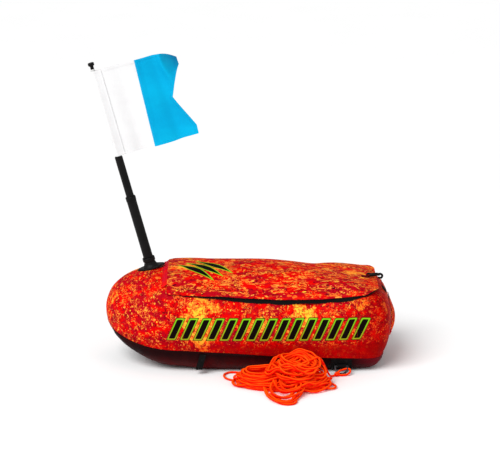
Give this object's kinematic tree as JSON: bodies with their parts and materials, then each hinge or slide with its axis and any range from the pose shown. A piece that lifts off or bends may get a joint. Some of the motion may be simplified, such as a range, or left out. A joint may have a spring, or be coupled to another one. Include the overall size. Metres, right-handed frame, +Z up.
{
  "type": "spearfishing float",
  "caption": "Inflatable spearfishing float with a printed cover, cargo pocket under a top lid, telescopic flag mast, inflation valve under a stern flap, rigging rings and float line.",
  "frame": {"origin": "middle of the flat underside of the belly, on the floor", "axes": "+Z up, -X towards the nose with the mast, +X towards the stern with the valve, -Y is the port side where the float line lies"},
  "size_m": [0.7376, 0.4826, 0.7659],
  "materials": {
    "print": "coated woven nylon with a mottled red, orange and yellow print, satin",
    "belly": "plain dark red coated nylon, satin",
    "liner": "plain dark grey lining fabric, matt",
    "bladder": "welded red film, satin",
    "black": "moulded black plastic, satin",
    "webbing": "black woven polyester webbing, matt",
    "steel": "stainless steel, polished",
    "line": "braided fluorescent orange float line, satin",
    "flag_white": "thin translucent white nylon",
    "flag_blue": "thin bright blue nylon",
    "elastic": "braided elastic cord, matt"
  },
  "bodies": {
    "hull": {"bladder": "bladder", "nose_cover": "print", "stern_cover": "print", "side_panel_port": "print", "side_panel_starboard": "print", "belly_panel": "belly", "pocket_liner": "liner", "lid_seam_tape": "print", "inflation_valve": "black", "mast_base": "black", "loop_anchor": "black", "elastic_loop": "elastic", "ring_tab_port": "webbing", "ring_tab_starboard": "webbing", "ring_keeper_port": "webbing", "ring_keeper_starboard": "webbing", "webbing_loop_port": "webbing", "webbing_loop_starboard": "webbing", "line_heap": "line", "line_lead": "line"},
    "lid": {"lid_panel": "print", "lid_binding": "webbing", "hook_tab": "webbing"},
    "hook": {"closure_hook": "black"},
    "cap": {"valve_cap": "black"},
    "flap": {"valve_flap": "print"},
    "lock_ring": {"mast_lock_ring": "black"},
    "mast_lower": {"mast_lower_tube": "black"},
    "mast_upper": {"mast_middle_tube": "black", "rod_plug": "black", "mast_top_rod": "black", "mast_tip_cap": "black"},
    "flag": {"flag_hoist_half": "flag_white", "flag_fly_half": "flag_blue"},
    "ring_port": {"d_ring_port": "steel"},
    "ring_starboard": {"d_ring_starboard": "steel"}
  },
  "joints": [
    {"name": "lid_hinge", "type": "hinge", "parent": "hull", "child": "lid", "pos_m": [-0.198, 0, 0.234], "axis": [0, -1, 0], "range_deg": [0, 70]},
    {"name": "hook_pivot", "type": "hinge", "parent": "lid", "child": "hook", "pos_m": [0.288, -0.012, 0.21125], "axis": [0, -1, 0], "range_deg": [0, 110]},
    {"name": "flap_hinge", "type": "hinge", "parent": "hull", "child": "flap", "pos_m": [0.3415, 0, 0.152], "axis": [0, -1, 0], "range_deg": [0, 100]},
    {"name": "cap_turn", "type": "hinge", "parent": "hull", "child": "cap", "pos_m": [0.34296, 0, 0.106], "axis": [1, 0, 0], "continuous": true},
    {"name": "lock_ring_turn", "type": "hinge", "parent": "hull", "child": "lock_ring", "pos_m": [-0.24, 0, 0.2268], "axis": [-0.2622, 0, 0.965], "range_deg": [0, 270]},
    {"name": "mast_pull", "type": "slide", "parent": "hull", "child": "mast_lower", "axis": [-0.2622, 0, 0.965], "range_m": [0, 0.05]},
    {"name": "mast_telescope", "type": "slide", "parent": "mast_lower", "child": "mast_upper", "axis": [-0.2622, 0, 0.965], "range_m": [-0.09, 0]},
    {"name": "flag_swivel", "type": "hinge", "parent": "mast_upper", "child": "flag", "pos_m": [-0.24, 0, 0.2268], "axis": [-0.2622, 0, 0.965], "continuous": true},
    {"name": "ring_port_swing", "type": "hinge", "parent": "hull", "child": "ring_port", "pos_m": [0.219, -0.12992, 0.01802], "axis": [-1, 0, 0], "range_deg": [-60, 90]},
    {"name": "ring_starboard_swing", "type": "hinge", "parent": "hull", "child": "ring_starboard", "pos_m": [0.219, 0.12992, 0.01802], "axis": [1, 0, 0], "range_deg": [-60, 90]}
  ]
}
